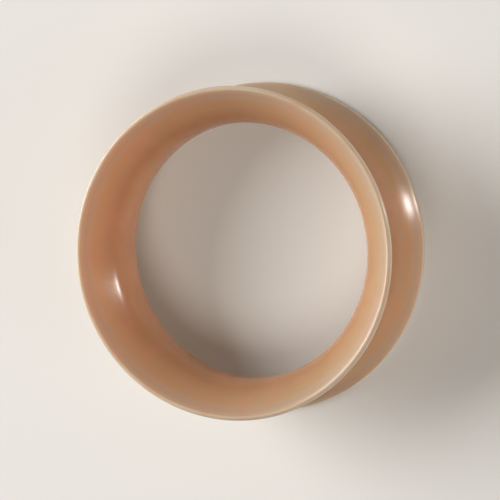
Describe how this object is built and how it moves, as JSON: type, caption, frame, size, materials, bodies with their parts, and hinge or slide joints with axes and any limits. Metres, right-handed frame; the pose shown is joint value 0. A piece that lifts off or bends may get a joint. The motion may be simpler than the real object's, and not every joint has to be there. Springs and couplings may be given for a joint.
{
  "type": "flexible ear tunnel",
  "caption": "Soft silicone ring with a flare at each end, a thin wall and an open bore, worn in a stretched lobe.",
  "frame": {"origin": "on the axis, at the height of the lower lip's edge, which is the surface that the tunnel lies on", "axes": "+Z along the tunnel's axis, from the lower flare to the upper one; +X and +Y are alike, because the ring is the same all round"},
  "size_m": [0.03, 0.03, 0.0098],
  "materials": {
    "silicone": "satin"
  },
  "bodies": {
    "root": {"ear_tunnel": "silicone"}
  },
  "joints": []
}
